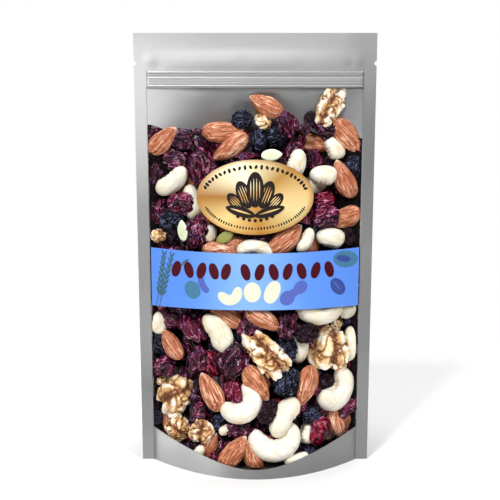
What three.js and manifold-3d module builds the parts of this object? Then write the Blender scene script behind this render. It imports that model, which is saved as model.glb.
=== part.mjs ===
// A stand-up pouch of trail mix: clear front film, silver back film and base gusset, heat-sealed
// on both sides, closed by a press-to-close zip, with an oval label and a label band on its front.
// Millimetres, +Z up. The origin is on the floor at the middle of the base. The front faces -Y.

import * as THREE from "three";
import { mergeVertices } from "three/addons/utils/BufferGeometryUtils.js";
import Module from "manifold-3d";

const wasm = await Module();
wasm.setup();

// Driving dimensions
const HEIGHT = 240;
const TOP_WIDTH = 132;
const BASE_WIDTH = 128.5;
const BASE_DEPTH = 66; // between the front and the back film, at the middle of the base
const SIDE_SEAL = 6.5;
const SEALED_THICKNESS = 1; // the two films where they are welded together

// The zip, from its lowest flange to its highest
const ZIP_BOTTOM = 210.8;
const ZIP_TOP = 219.8;
const ZIP_FLANGE = 0.5;
const ZIP_RIB_HEIGHT = 0.8;
const ZIP_RIB_WIDTH = 1.1;
const ZIP_RIBS = [211.7, 216, 218.9];

// Above the zip: a slightly puffed header, its flat top seal and the tear notches
const TOP_SEAL = 9;
const HEADER_PUFF = 0.8;
const NOTCH_HEIGHT = 223.8;
const NOTCH_RADIUS = 1.15;
const NOTCH_REACH = 1.4;

// Under the base: the gusset film is held up inside the rim where the films end
const RIM_WIDTH = 2.6;
const GUSSET_RISE = 3;
const GUSSET_FOLD_RISE = 0.6;
const GUSSET_EDGE_RISE = 0.2;

// The labels
const LABEL_THICKNESS = 0.4;
const OVAL = { middle: 152.5, halfWidth: 31.7, halfHeight: 20 };
const BAND = { bottom: 90.4, top: 123.1, sideGap: 0.8 };
const BAND_BOW = { bottom: 1.8, top: -0.6 }; // how far its edges bow up in the middle

const CLEARANCE = 0.3; // between neighbouring pieces
const MERGE_TOLERANCE = 1e-4;

// How the film swells out from the zip down to the base
const SWELL_POWER = 1.1;
const SWELL_ROUNDNESS = 0.68;

const BODY_COLUMNS = 30;
const BODY_ROWS = 34;
const HEADER_ROWS = 4;

const halfWidthAt = (z) => THREE.MathUtils.lerp(BASE_WIDTH, TOP_WIDTH, z / HEIGHT) / 2;
const chamberHalfWidthAt = (z) => halfWidthAt(z) - SIDE_SEAL;

// Half the distance between the two films at height z, on the centre line.
function swellAt(z) {
  if (z < ZIP_BOTTOM) {
    const share = 1 - Math.pow(Math.max(z, 0) / ZIP_BOTTOM, SWELL_POWER);
    return ((BASE_DEPTH - SEALED_THICKNESS) / 2) * Math.pow(share, SWELL_ROUNDNESS);
  }
  const header = (z - ZIP_TOP) / (HEIGHT - TOP_SEAL - ZIP_TOP);
  return header > 0 && header < 1 ? HEADER_PUFF * Math.sin(Math.PI * header) : 0;
}

// 1 on the centre line, falling to 0 at the side seals.
const crownAt = (x, z) => 1 - Math.pow(Math.min(Math.abs(x) / chamberHalfWidthAt(z), 1), 2);

// Distance of the film's outside from the pouch's middle plane.
const filmAt = (x, z) => SEALED_THICKNESS / 2 + swellAt(z) * crownAt(x, z);

function withMergedVertices(geometry) {
  geometry.deleteAttribute("normal");
  geometry.deleteAttribute("uv");
  return mergeVertices(geometry, MERGE_TOLERANCE);
}

// A closed box of columns by layers by rows. place(a, b, c) moves each corner from its place in
// a cube whose sides run from -1 to 1.
function shapedBox(columns, layers, rows, place) {
  const box = new THREE.BoxGeometry(2, 2, 2, columns, layers, rows);
  const corners = box.getAttribute("position");
  for (let i = 0; i < corners.count; i++) {
    corners.setXYZ(i, ...place(corners.getX(i), corners.getY(i), corners.getZ(i)));
  }
  return withMergedVertices(box);
}

function toSolid(geometry) {
  return new wasm.Manifold(
    new wasm.Mesh({
      numProp: 3,
      vertProperties: new Float32Array(geometry.getAttribute("position").array),
      triVerts: new Uint32Array(geometry.index.array),
    }),
  );
}

function toGeometry(solid) {
  const mesh = solid.getMesh();
  const geometry = new THREE.BufferGeometry();
  geometry.setAttribute("position", new THREE.BufferAttribute(mesh.vertProperties, 3));
  geometry.setIndex(new THREE.BufferAttribute(mesh.triVerts, 1));
  geometry.computeVertexNormals();
  return geometry;
}

// The sealed bag: its outermost columns are the side seals, and its rows close up at the zip.
function pouchBody() {
  const levels = [];
  for (let row = 0; row < BODY_ROWS; row++) levels.push((ZIP_BOTTOM * row) / BODY_ROWS);
  levels.push(ZIP_BOTTOM, ZIP_TOP);
  for (let row = 1; row <= HEADER_ROWS; row++) {
    levels.push(THREE.MathUtils.lerp(ZIP_TOP, HEIGHT - TOP_SEAL, row / HEADER_ROWS));
  }
  levels.push(HEIGHT);
  const rows = levels.length - 1;
  const chamberEdge = 1 - 2 / BODY_COLUMNS;

  return shapedBox(BODY_COLUMNS, 1, rows, (a, b, c) => {
    const z = levels[Math.round(((c + 1) / 2) * rows)];
    const sealed = Math.abs(a) > chamberEdge + 1e-6;
    const x = sealed ? Math.sign(a) * halfWidthAt(z) : (a / chamberEdge) * chamberHalfWidthAt(z);
    return [x, b * filmAt(x, z), z];
  });
}

// The hollow under the gusset: a lens inside the rim, whose roof has the gusset's middle fold.
function gussetHollow() {
  const reach = chamberHalfWidthAt(0) - RIM_WIDTH - CLEARANCE;
  return shapedBox(24, 8, 1, (a, b, c) => {
    const x = a * reach;
    const y = b * (filmAt(x, 0) - RIM_WIDTH);
    const dome = GUSSET_RISE * (1 - a * a) * (1 - Math.pow(b, 6));
    const fold = GUSSET_FOLD_RISE * (1 - Math.abs(b));
    return [x, y, c < 0 ? -GUSSET_RISE : GUSSET_EDGE_RISE + dome + fold];
  });
}

// A round-ended cut through the side seal. side is -1 on the left and 1 on the right.
function tearNotch(side) {
  const notch = new THREE.CylinderGeometry(NOTCH_RADIUS, NOTCH_RADIUS, 4 * SEALED_THICKNESS, 20);
  const x = halfWidthAt(NOTCH_HEIGHT) + NOTCH_RADIUS - NOTCH_REACH;
  return withMergedVertices(notch.translate(side * x, 0, NOTCH_HEIGHT));
}

function pouch() {
  let solid = toSolid(pouchBody()).subtract(toSolid(gussetHollow()));
  for (const side of [-1, 1]) solid = solid.subtract(toSolid(tearNotch(side)));
  return toGeometry(solid);
}

// One zip track, lying against one film: a flat flange with ribs. side is -1 on the front and 1
// on the back.
function zipTrack(side) {
  const seat = SEALED_THICKNESS / 2 + CLEARANCE;
  const crest = seat + ZIP_FLANGE + ZIP_RIB_HEIGHT;
  const profile = new THREE.Shape();
  profile.moveTo(ZIP_TOP - CLEARANCE, seat);
  profile.lineTo(ZIP_BOTTOM + CLEARANCE, seat);
  for (const rib of ZIP_RIBS) {
    const low = Math.max(rib - ZIP_RIB_WIDTH / 2, ZIP_BOTTOM + CLEARANCE);
    profile.lineTo(low, seat + ZIP_FLANGE);
    profile.quadraticCurveTo(rib, 2 * crest - seat - ZIP_FLANGE, rib + ZIP_RIB_WIDTH / 2, seat + ZIP_FLANGE);
  }
  profile.lineTo(ZIP_TOP - CLEARANCE, seat + ZIP_FLANGE);
  const length = 2 * (chamberHalfWidthAt(ZIP_BOTTOM) - CLEARANCE);
  const track = new THREE.ExtrudeGeometry(profile, { depth: length, bevelEnabled: false, curveSegments: 4 });
  // The profile is drawn with height along X and thickness along Y: stand it up along Z.
  track.translate(0, 0, -length / 2);
  track.applyMatrix4(new THREE.Matrix4().makeBasis(
    new THREE.Vector3(0, 0, 1),
    new THREE.Vector3(0, side, 0),
    new THREE.Vector3(-side, 0, 0),
  ));
  return track;
}

// A label laid on the front film: outline(a, c) gives its x and z from -1 to 1 both ways.
function frontLabel(columns, rows, outline) {
  return shapedBox(columns, 1, rows, (a, b, c) => {
    const [x, z] = outline(a, c);
    const lift = CLEARANCE + (b < 0 ? LABEL_THICKNESS : 0);
    return [x, -(filmAt(x, z) + lift), z];
  });
}

function ovalLabel() {
  return frontLabel(16, 12, (a, c) => [
    OVAL.halfWidth * a * Math.sqrt(1 - (c * c) / 2),
    OVAL.middle + OVAL.halfHeight * c * Math.sqrt(1 - (a * a) / 2),
  ]);
}

function bandLabel() {
  return frontLabel(BODY_COLUMNS, 6, (a, c) => {
    const bow = 1 - a * a;
    const bottom = BAND.bottom + BAND_BOW.bottom * bow;
    const top = BAND.top + BAND_BOW.top * bow;
    const z = THREE.MathUtils.lerp(bottom, top, (c + 1) / 2);
    return [a * (chamberHalfWidthAt(z) - BAND.sideGap), z];
  });
}

const silverFilm = new THREE.MeshStandardMaterial({ color: 0xb9b9b9, roughness: 0.35, metalness: 0.9 });
const zipPlastic = new THREE.MeshStandardMaterial({ color: 0xc4c5c6, roughness: 0.3, metalness: 0.6 });
const goldFoil = new THREE.MeshStandardMaterial({ color: 0xe0b458, roughness: 0.3, metalness: 0.7 });
const bluePaper = new THREE.MeshStandardMaterial({ color: 0x6aa5fb, roughness: 0.45, metalness: 0 });

const trailMixPouch = new THREE.Group();

function add(name, geometry, material) {
  const mesh = new THREE.Mesh(geometry, material);
  mesh.name = name;
  trailMixPouch.add(mesh);
}

add("pouch", pouch(), silverFilm);
add("zip_front", zipTrack(-1), zipPlastic);
add("zip_back", zipTrack(1), zipPlastic);
add("oval_label", ovalLabel(), goldFoil);
add("band_label", bandLabel(), bluePaper);

export default trailMixPouch;
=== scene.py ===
import math
import random

import bmesh
import bpy
import numpy as np
from mathutils import Matrix, Quaternion, Vector, noise


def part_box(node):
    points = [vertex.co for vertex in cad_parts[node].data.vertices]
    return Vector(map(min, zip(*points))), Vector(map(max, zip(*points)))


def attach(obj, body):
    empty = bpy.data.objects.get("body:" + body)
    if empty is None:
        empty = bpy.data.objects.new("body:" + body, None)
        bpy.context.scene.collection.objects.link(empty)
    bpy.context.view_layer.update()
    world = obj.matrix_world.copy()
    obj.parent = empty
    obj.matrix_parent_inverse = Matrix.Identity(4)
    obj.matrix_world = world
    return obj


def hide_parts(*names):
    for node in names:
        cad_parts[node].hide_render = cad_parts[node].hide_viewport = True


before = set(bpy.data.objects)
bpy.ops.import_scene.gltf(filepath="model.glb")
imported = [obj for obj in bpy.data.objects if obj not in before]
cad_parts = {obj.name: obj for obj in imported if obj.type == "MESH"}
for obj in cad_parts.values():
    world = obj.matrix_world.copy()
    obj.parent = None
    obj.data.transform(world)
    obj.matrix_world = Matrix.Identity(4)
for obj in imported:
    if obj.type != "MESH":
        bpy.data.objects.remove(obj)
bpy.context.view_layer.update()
mm = 0.001  # shapes are modelled in millimetres and made metres when they are finished


# The pouch's own sizes. The front faces -Y, and its films meet at the side seals.
pouch = {
    "baseWidth": 128.5,
    "sideSeal": 6.5,
    "sealedThickness": 1.0,
    "filmThickness": 0.25,
    "zipBottom": 210.8,
    "zipTop": 219.8,
    "topSeal": 9.0,
    "headerPuff": 0.3,
    "swellPower": 1.1,
    "swellRoundness": 0.68,
    "windowDip": 19.7,     # height of the window's lower corners
    "windowLow": 5.2,      # and of its lowest point
    "windowSoft": 6.6,     # how far that point is rounded
}
mergeDistance = 0.02
creaseAngle = 40    # edges sharper than this stay crisp, in degrees
pouchLow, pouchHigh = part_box("pouch")
pouchHeight = pouchHigh[2] / mm
topWidth = (pouchHigh[0] - pouchLow[0]) / mm
baseSwell = (pouchHigh[1] - pouchLow[1]) / mm / 2 - pouch["sealedThickness"] / 2


def halfWidth(z):
    return (pouch["baseWidth"] + (topWidth - pouch["baseWidth"]) * z / pouchHeight) / 2


def chamber(z):
    return halfWidth(z) - pouch["sideSeal"]


# How far the film stands out from the pouch's middle plane.
def filmDepth(x, z):
    risen = np.clip(z / pouch["zipBottom"], 0, 1) ** pouch["swellPower"]
    swell = baseSwell * (1 - risen) ** pouch["swellRoundness"]
    header = (z - pouch["zipTop"]) / (pouchHeight - pouch["topSeal"] - pouch["zipTop"])
    swell = swell + pouch["headerPuff"] * np.sin(np.pi * np.clip(header, 0, 1))
    crown = 1 - np.clip(np.abs(x) / chamber(z), 0, 1) ** 2
    return pouch["sealedThickness"] / 2 + swell * crown


def filmNormal(x, z):
    step = 0.5
    slopeX = (filmDepth(x + step, z) - filmDepth(x - step, z)) / (2 * step)
    slopeZ = (filmDepth(x, z + step) - filmDepth(x, z - step)) / (2 * step)
    return Vector((-slopeX, -1, -slopeZ)).normalized()


# Height of the clear window's lower edge.
def windowEdge(x):
    reach = pouch["windowDip"] - pouch["windowLow"]
    width = chamber(pouch["windowDip"])
    soft = pouch["windowSoft"]
    slope = math.sqrt((reach + soft) ** 2 - soft ** 2) / width
    across = min(abs(x), width)
    return pouch["windowLow"] - soft + math.hypot(slope * across, soft)


# Shader maths as Python expressions: a wire is one socket's value.
class Wire:
    def __init__(self, tree, socket):
        self.tree = tree
        self.socket = socket

    def maths(self, operation, *values):
        node = self.tree.nodes.new("ShaderNodeMath")
        node.operation = operation
        for place, value in zip(node.inputs, values):
            plug(self.tree, place, value)
        return Wire(self.tree, node.outputs[0])

    def __add__(self, other):
        return self.maths("ADD", self, other)

    def __radd__(self, other):
        return self.maths("ADD", other, self)

    def __sub__(self, other):
        return self.maths("SUBTRACT", self, other)

    def __rsub__(self, other):
        return self.maths("SUBTRACT", other, self)

    def __mul__(self, other):
        return self.maths("MULTIPLY", self, other)

    def __rmul__(self, other):
        return self.maths("MULTIPLY", other, self)

    def __truediv__(self, other):
        return self.maths("DIVIDE", self, other)

    def __pow__(self, other):
        return self.maths("POWER", self, other)

    def clamped(self):
        return self.maths("MINIMUM", self.maths("MAXIMUM", self, 0.0), 1.0)


# Gives a node's input a wire or a plain value.
def plug(tree, place, value):
    if isinstance(value, Wire):
        tree.links.new(value.socket, place)
    else:
        place.default_value = value


# A material's nodes, or the world's. make() adds any node: its type, its settings, then the values or
# links of its sockets.
class Finish:
    def __init__(self, name, isWorld=False):
        self.owner = (bpy.data.worlds if isWorld else bpy.data.materials).new(name)
        self.owner.use_nodes = True
        self.tree = self.owner.node_tree
        self.tree.nodes.clear()

    def make(self, kind, settings=None, sockets=None, output=0):
        node = self.tree.nodes.new("ShaderNode" + kind)
        for key, value in (settings or {}).items():
            if key == "stops":
                self.setStops(node.color_ramp, value)
            else:
                setattr(node, key, value)
        for key, value in (sockets or {}).items():
            plug(self.tree, node.inputs[key], value)
        return Wire(self.tree, node.outputs[output])

    def setStops(self, ramp, stops):
        while len(ramp.elements) < len(stops):
            ramp.elements.new(1.0)
        for element, (place, shade) in zip(ramp.elements, stops):
            element.position = place
            element.color = shade

    def attribute(self, name, output="Fac"):
        return self.make("Attribute", {"attribute_name": name}, output=output)

    def skin(self):
        return self.attribute("rest", "Vector"), self.attribute("lot"), self.attribute("relief")

    def place(self):
        return self.make("TexCoord", output="Object")

    def stretched(self, vector, scale):
        return self.make("VectorMath", {"operation": "MULTIPLY"}, {0: vector, 1: scale})

    def split(self, vector):
        node = self.tree.nodes.new("ShaderNodeSeparateXYZ")
        self.tree.links.new(vector.socket, node.inputs[0])
        return [Wire(self.tree, output) for output in node.outputs]

    def grain(self, vector, scale, detail=2.0, roughness=0.5, shift=0.0, distortion=0.0):
        return self.make(
            "TexNoise",
            {"noise_dimensions": "4D"},
            {"Vector": vector, "W": shift, "Scale": scale, "Detail": detail,
             "Roughness": roughness, "Distortion": distortion},
        )

    def size(self, value):
        return value.maths("ABSOLUTE", value)

    # Fine crests, 1 along each crest, falling off on both sides.
    def ridges(self, vector, scale, detail=1.0, shift=0.0, distortion=0.0, width=5.0):
        hills = self.grain(vector, scale, detail, 0.5, shift, distortion)
        return (1 - self.size(hills - 0.5) * width).clamped()

    def ramp(self, value, stops):
        return self.make("ValToRGB", {"stops": stops}, {"Fac": value})

    def fade(self, value, start, end):
        return self.make(
            "MapRange",
            {"interpolation_type": "SMOOTHSTEP"},
            {"Value": value, "From Min": start, "From Max": end},
        )

    def mix(self, amount, first, second):
        return self.make("Mix", {"data_type": "RGBA"}, {0: amount, 6: first, 7: second}, output=2)

    def bump(self, height, distance, strength=1.0):
        return self.make("Bump", None, {"Height": height, "Distance": distance, "Strength": strength})

    def principled(self, sockets):
        return self.make("BsdfPrincipled", None, sockets)

    def done(self, shader, output="OutputMaterial"):
        out = self.tree.nodes.new("ShaderNode" + output)
        self.tree.links.new(shader.socket, out.inputs["Surface"])
        return self.owner


# A colour as it looks on a screen, 0 to 255.
def tint(red, green, blue):
    def linear(part):
        part = part / 255
        return part / 12.92 if part <= 0.04045 else ((part + 0.055) / 1.055) ** 2.4
    return (linear(red), linear(green), linear(blue), 1.0)


def grey(tone):
    return (tone, tone, tone, 1.0)


# A ramp's stops in grey.
def greys(stops):
    return [(at, grey(tone)) for at, tone in stops]


# Makes a finished object of a shape in millimetres.
def finishPiece(bm, name, finishes, smooth=True, sharpAngle=None):
    bmesh.ops.scale(bm, vec=(mm, mm, mm), verts=bm.verts)
    for face in bm.faces:
        face.smooth = smooth
    mesh = bpy.data.meshes.new(name)
    bm.to_mesh(mesh)
    bm.free()
    if sharpAngle:
        mesh.set_sharp_from_angle(angle=math.radians(sharpAngle))
    for material in finishes:
        mesh.materials.append(material)
    piece = bpy.data.objects.new(name, mesh)
    bpy.context.scene.collection.objects.link(piece)
    return piece


# Turns an open sheet's faces to look along direction.
def faceTowards(bm, direction):
    bmesh.ops.recalc_face_normals(bm, faces=bm.faces)
    bm.normal_update()
    looking = sum(face.normal.dot(direction) * face.calc_area() for face in bm.faces)
    if looking < 0:
        bmesh.ops.reverse_faces(bm, faces=bm.faces)


# Gives a sheet its thickness, behind the side that its faces look to.
def thicken(bm, thickness):
    bm.normal_update()
    bmesh.ops.solidify(bm, geom=bm.faces[:], thickness=thickness)


# A grid whose corners are moved by place(a, b) from -1 to 1 both ways.
def grid(bm, columns, rows, place):
    made = bmesh.ops.create_grid(bm, x_segments=columns, y_segments=rows, size=1)
    for corner in made["verts"]:
        corner.co = place(corner.co.x, corner.co.y)


# A sheet made of such a grid: its front looks along direction, its thickness lies behind.
def sheet(columns, rows, place, direction, thickness):
    bm = bmesh.new()
    grid(bm, columns, rows, place)
    faceTowards(bm, direction)
    thicken(bm, thickness)
    return bm


# The silver film: seals, header, skirt and back
silver = {
    "sealColumns": 3,
    "chamberColumns": 56,
    "skirtRows": 8,
    "windowRows": 62,
    "notchHeight": 223.8,
    "notchReach": 1.4,
    "notchRadius": 1.15,
    "headerLevels": [219.8, 221.2, 222.2, 222.7, 223.05, 223.4, 223.8, 224.2, 224.55, 224.9, 225.4,
                     226.4, 228.0, 229.6, 231.0, 233.4, 236.6, 240.0],
}
# Tones painted into the silver film's colour: mostly painted reflections, highlights and shade, with a random
# mottle (cloud)
silverTones = {
    # painted reflection and shade on the film, by height on the left and on the right, 0 at the base and 1 at
    # the top
    "left": [(0.0, 0.28), (0.04, 0.26), (0.09, 0.21), (0.18, 0.186), (0.28, 0.32), (0.37, 0.45), (0.5, 0.57),
             (0.61, 0.59), (0.66, 0.72), (0.73, 0.84), (0.8, 0.87), (0.9, 0.86), (0.97, 0.75), (1.0, 0.66)],
    "right": [(0.0, 0.225), (0.1, 0.19), (0.18, 0.21), (0.28, 0.255), (0.37, 0.34), (0.5, 0.55),
              (0.61, 0.53), (0.72, 0.5), (0.8, 0.53), (0.88, 0.62), (0.95, 0.68), (1.0, 0.68)],
    # painted highlight and shade lines along the zip's ribs, by height across the zip, 0 at its foot and 1 at
    # its top
    "zip": [(0.0, 0.34), (0.05, 0.38), (0.1, 0.95), (0.16, 0.36), (0.22, 0.43), (0.28, 0.96), (0.34, 0.58),
            (0.46, 0.78), (0.58, 0.9), (0.64, 0.38), (0.7, 0.44), (0.75, 0.66), (0.81, 0.6), (0.87, 0.82),
            (0.93, 0.6), (0.966, 0.2)],
    # painted shade across the zip, darker on the left
    "zipLeft": 0.9,
    "zipRight": 1.04,
    "backLeft": 0.74,      # painted reflection on the back film's inner side, above the heap
    "backMiddle": 0.24,
    "backRight": 0.26,
    "skirt": 0.43,         # painted highlight on the skirt's left part, and on its corner
    "skirtCorner": 0.5,
    "cloud": 0.4,
}


def silverFinish():
    f = Finish("silver film")
    place = f.place()
    x, y, z = f.split(place)
    broad = f.grain(place, 14.0, 2.0)
    fine = f.grain(f.stretched(place, (1.0, 1.0, 0.35)), 900.0, 2.0)
    height = z / (pouchHeight * mm)
    left = f.ramp(height, greys(silverTones["left"]))
    right = f.ramp(height, greys(silverTones["right"]))
    # Painted reflection and shade: where the left's tones give way to the right's, on a slant below the zip,
    # straight above it
    header = f.fade(height, 0.87, 0.93)
    start = (0.025 * height - 0.035) * (1 - header) + 0.026 * header
    spread = (0.04 + 0.045 * height) * (1 - header) + 0.03 * header
    shade = f.mix(f.fade((x - start) / spread, 0.0, 1.0), left, right)
    # A painted highlight across the header's middle
    shine = header * f.fade(x, -0.03, 0.03) * (1 - f.fade(x, 0.044, 0.058))
    shade = f.mix(shine * 0.45, shade, grey(1.0))
    # Painted reflection on the back film above the heap: bright by its left seal, darker across the middle
    inside = f.attribute("within") * f.fade(z, 0.17, 0.19)
    lean = f.fade(x + 0.55 * (0.2 - z), -0.058, -0.024)
    dimReflection = f.mix(f.fade(x, 0.03, 0.056), grey(silverTones["backMiddle"]), grey(silverTones["backRight"]))
    shade = f.mix(inside, shade, f.mix(lean, grey(silverTones["backLeft"]), dimReflection))
    # Painted highlight and shade on the zip's ribs: a bright line along each, with a darker one under it, a
    # little brighter to the right
    foot, top = pouch["zipBottom"] * mm, pouch["zipTop"] * mm
    track = f.ramp((z - foot) / (top - foot), greys(silverTones["zip"]))
    proud = f.fade(-1 * y, 0.00062, 0.00072)
    onTrack = proud * f.fade(z, foot, foot + 0.2 * mm) * (1 - f.fade(z, top - 0.3 * mm, top - 0.1 * mm))
    side = f.mix(f.fade(x, -0.05, 0.05), grey(silverTones["zipLeft"]), grey(silverTones["zipRight"]))
    shade = f.mix(onTrack, shade, f.make("VectorMath", {"operation": "MULTIPLY"}, {0: track, 1: side}))
    # Painted highlight: the skirt under the window is brighter on the left, most of all in its corner
    skirt = (1 - f.fade(z, 0.016, 0.022)) * f.fade(x, -0.0575, -0.054) * (1 - f.fade(x, -0.026, -0.01))
    shade = f.mix(skirt, shade, grey(silverTones["skirt"]))
    corner = ((x + 0.0495) * (x + 0.0495) + (z - 0.0135) * (z - 0.0135) * 0.4) ** 0.5
    shade = f.mix((1 - f.fade(corner, 0.001, 0.009)) * 0.6, shade, grey(silverTones["skirtCorner"]))
    shade = f.mix(broad * 0.12, shade, grey(silverTones["cloud"]))
    return f.done(f.principled({
        "Base Color": shade, "Metallic": 0.9 - 0.55 * inside, "Roughness": 0.26 + 0.1 * broad,
        "Normal": f.bump(fine + 2.0 * broad, 0.00002),
    }))


# Small creases that the film takes at the zip's ends and in the corners: x, z, width, height, depth
silverDents = [
    (-57.5, 225.5, 2.2, 3.4, 0.12),
    (-53.0, 222.0, 2.0, 2.4, -0.08),
    (56.0, 225.0, 2.2, 3.8, 0.15),
    (51.5, 222.5, 2.4, 2.2, -0.1),
    (-4.0, 225.0, 5.0, 3.0, -0.06),
    (27.0, 224.5, 4.0, 3.0, -0.06),
    (-50.0, 13.0, 5.0, 7.0, 0.55),
    (-43.0, 6.0, 6.0, 6.0, -0.3),
    (52.0, 12.0, 3.4, 3.0, 0.45),
    (49.0, 5.0, 4.0, 4.0, -0.3),
    (55.5, 7.0, 2.4, 3.0, 0.25),
]


def dent(x, z):
    total = 0.0
    for middleX, middleZ, width, height, depth in silverDents:
        total += depth * math.exp(-((x - middleX) / width) ** 2 - ((z - middleZ) / height) ** 2)
    return total


def silverPouch():
    seal, inner = silver["sealColumns"], silver["chamberColumns"]
    across = 2 * seal + inner
    around = 2 * across + 2
    skirt, window = silver["skirtRows"], silver["windowRows"]
    levels = silver["headerLevels"]
    rows = skirt + window + len(levels)

    # Where a column stands at height z: the seals keep their width, the chamber takes the rest.
    def acrossPlace(column, z):
        if column <= seal:
            return -halfWidth(z) + pouch["sideSeal"] * column / seal
        if column >= across - seal:
            return halfWidth(z) - pouch["sideSeal"] * (across - column) / seal
        return chamber(z) * (2 * (column - seal) / inner - 1)

    # The grid goes once round the pouch: across the front, then back across the back.
    def place(a, b):
        turn = round((a + 1) / 2 * around)
        row = round((b + 1) / 2 * rows)
        front = turn <= across or turn == around
        column = turn % around if front else around - 1 - turn
        if row > skirt + window:
            z = levels[row - skirt - window - 1]
        else:
            low = windowEdge(acrossPlace(column, pouch["windowDip"]))
            if row <= skirt:
                z = low * row / skirt
            else:
                z = low + (pouch["zipBottom"] - low) * (row - skirt) / window
        x = acrossPlace(column, z)
        if column in (0, across):
            cut = 1 - ((z - silver["notchHeight"]) / silver["notchRadius"]) ** 2
            if cut > 0:
                x -= math.copysign(silver["notchReach"] * math.sqrt(cut), x)
        depth = float(filmDepth(x, z))
        if front:
            inside = 0 < column < across
            return Vector((x, -depth - (dent(x, z) if inside else 0), z))
        return Vector((x, depth, z))

    bm = bmesh.new()
    grid(bm, around, rows, place)
    bmesh.ops.remove_doubles(bm, verts=bm.verts, dist=mergeDistance)
    window = []
    for face in bm.faces:
        middle = face.calc_center_median()
        inWindow = windowEdge(middle.x) < middle.z < pouch["zipBottom"]
        if middle.y < -pouch["sealedThickness"] / 4 and inWindow and abs(middle.x) < chamber(middle.z):
            window.append(face)
    bmesh.ops.delete(bm, geom=window, context="FACES")
    top = [edge for edge in bm.edges if edge.is_boundary and all(
        corner.co.z > pouchHeight - 0.1 for corner in edge.verts)]
    bmesh.ops.holes_fill(bm, edges=top, sides=0)
    bmesh.ops.recalc_face_normals(bm, faces=bm.faces)
    thicken(bm, pouch["filmThickness"])
    within = bm.verts.layers.float.new("within")  # 1 on the back film's inner side
    for corner in bm.verts:
        x, y, z = corner.co
        corner[within] = 1.0 if 0 < y < float(filmDepth(x, z)) - pouch["filmThickness"] * 0.4 else 0.0
    piece = finishPiece(bm, "silver_film", [materials["silver"]], sharpAngle=creaseAngle)
    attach(piece, "root")
    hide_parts("pouch")


# The clear window, welded just behind the silver
clearFilm = {"overlap": 1.6, "behind": 0.3, "thickness": 0.12, "columns": 48, "rows": 64, "sheen": 0.035}


def clearFinish():
    f = Finish("clear film")
    facing = f.make("LayerWeight", None, {"Blend": 0.12}, output="Fresnel")
    sheen = (facing * clearFilm["sheen"] + 0.0006).clamped()
    gloss = f.principled({"Base Color": grey(1.0), "Metallic": 1.0, "Roughness": 0.14})
    clear = f.make("BsdfTransparent", None, {"Color": grey(1.0)})
    return f.done(f.make("MixShader", None, {0: sheen, 1: clear, 2: gloss}))


def clearWindow():
    over, behind = clearFilm["overlap"], clearFilm["behind"]

    def place(a, b):
        low = windowEdge(a * chamber(pouch["windowDip"])) - over
        high = pouch["zipBottom"] + over
        z = low + (high - low) * (b + 1) / 2
        x = a * (chamber(z) + over)
        return Vector((x, behind - float(filmDepth(x, z)), z))

    bm = sheet(clearFilm["columns"], clearFilm["rows"], place, Vector((0, -1, 0)), clearFilm["thickness"])
    piece = finishPiece(bm, "clear_film", [materials["clear"]], sharpAngle=creaseAngle)
    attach(piece, "root")


# The gusset under the base: a low dome with a fold along its middle
gusset = {"endGap": 1.0, "inset": 0.72, "lift": 0.3, "rise": 3.2, "fold": 0.7, "thickness": 0.25,
          "columns": 48, "rows": 20}


def baseGusset():
    reach = chamber(0) - gusset["endGap"]

    def place(a, b):
        x = a * reach
        y = b * (float(filmDepth(x, 0)) - gusset["inset"])
        dome = gusset["rise"] * (1 - a * a) * (1 - b ** 6)
        return Vector((x, y, gusset["lift"] + dome + gusset["fold"] * (1 - abs(b))))

    bm = sheet(gusset["columns"], gusset["rows"], place, Vector((0, 0, -1)), gusset["thickness"])
    piece = finishPiece(bm, "base_gusset", [materials["silver"]], sharpAngle=creaseAngle)
    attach(piece, "root")


# The zip's two tracks, as they stand out of the films
zipTrack = {
    "ribs": [211.7, 216.0, 218.9],
    "ribWidth": 0.5,
    "ribHeight": 0.12,
    "flange": 0.14,
    "gap": 0.3,
    "endTaper": 0.8,
    "endShare": 0.35,    # how much of its height is left at its very ends
    "columns": 90,
    "rows": 72,
}


def zipTracks():
    low = pouch["zipBottom"] + zipTrack["gap"]
    high = pouch["zipTop"] - zipTrack["gap"]
    reach = chamber(pouch["zipBottom"]) - zipTrack["gap"]
    seat = pouch["sealedThickness"] / 2 + zipTrack["gap"]
    for side, name in ((-1, "front"), (1, "back")):
        def place(a, b):
            x = a * reach
            z = low + (high - low) * (b + 1) / 2
            proud = zipTrack["flange"]
            for rib in zipTrack["ribs"]:
                proud += zipTrack["ribHeight"] * math.exp(-((z - rib) / zipTrack["ribWidth"]) ** 4)
            ends = min(1.0, (reach - abs(x)) / zipTrack["endTaper"]) ** 0.5
            least = zipTrack["endShare"]
            return Vector((x, side * (seat + proud * (least + (1 - least) * ends)), z))

        bm = bmesh.new()
        grid(bm, zipTrack["columns"], zipTrack["rows"], place)
        rim = [edge for edge in bm.edges if edge.is_boundary]
        made = bmesh.ops.extrude_edge_only(bm, edges=rim)["geom"]
        hem = [part for part in made if isinstance(part, bmesh.types.BMVert)]
        for corner in hem:
            corner.co.y = side * seat
        back = [edge for edge in bm.edges if edge.is_boundary]
        bmesh.ops.holes_fill(bm, edges=back, sides=0)
        bmesh.ops.recalc_face_normals(bm, faces=bm.faces)
        piece = finishPiece(bm, "zip_" + name + "_track", [materials["silver"]])
        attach(piece, "root")
        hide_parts("zip_" + name)


# The labels and what is printed on them
label = {
    "lift": 0.3,
    "thickness": 0.4,
    "ink": 0.05,         # each layer of print stands this far above the last
    "stripWidth": 3.0,   # prints are cut this fine to follow the film
}
oval = {"middle": 152.5, "halfWidth": 31.7, "halfHeight": 20.0, "columns": 40, "rows": 28}
band = {"bottom": 90.4, "top": 123.1, "sideGap": 0.8, "bottomBow": 1.8, "topBow": -0.6,
        "columns": 60, "rows": 16}


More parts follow.
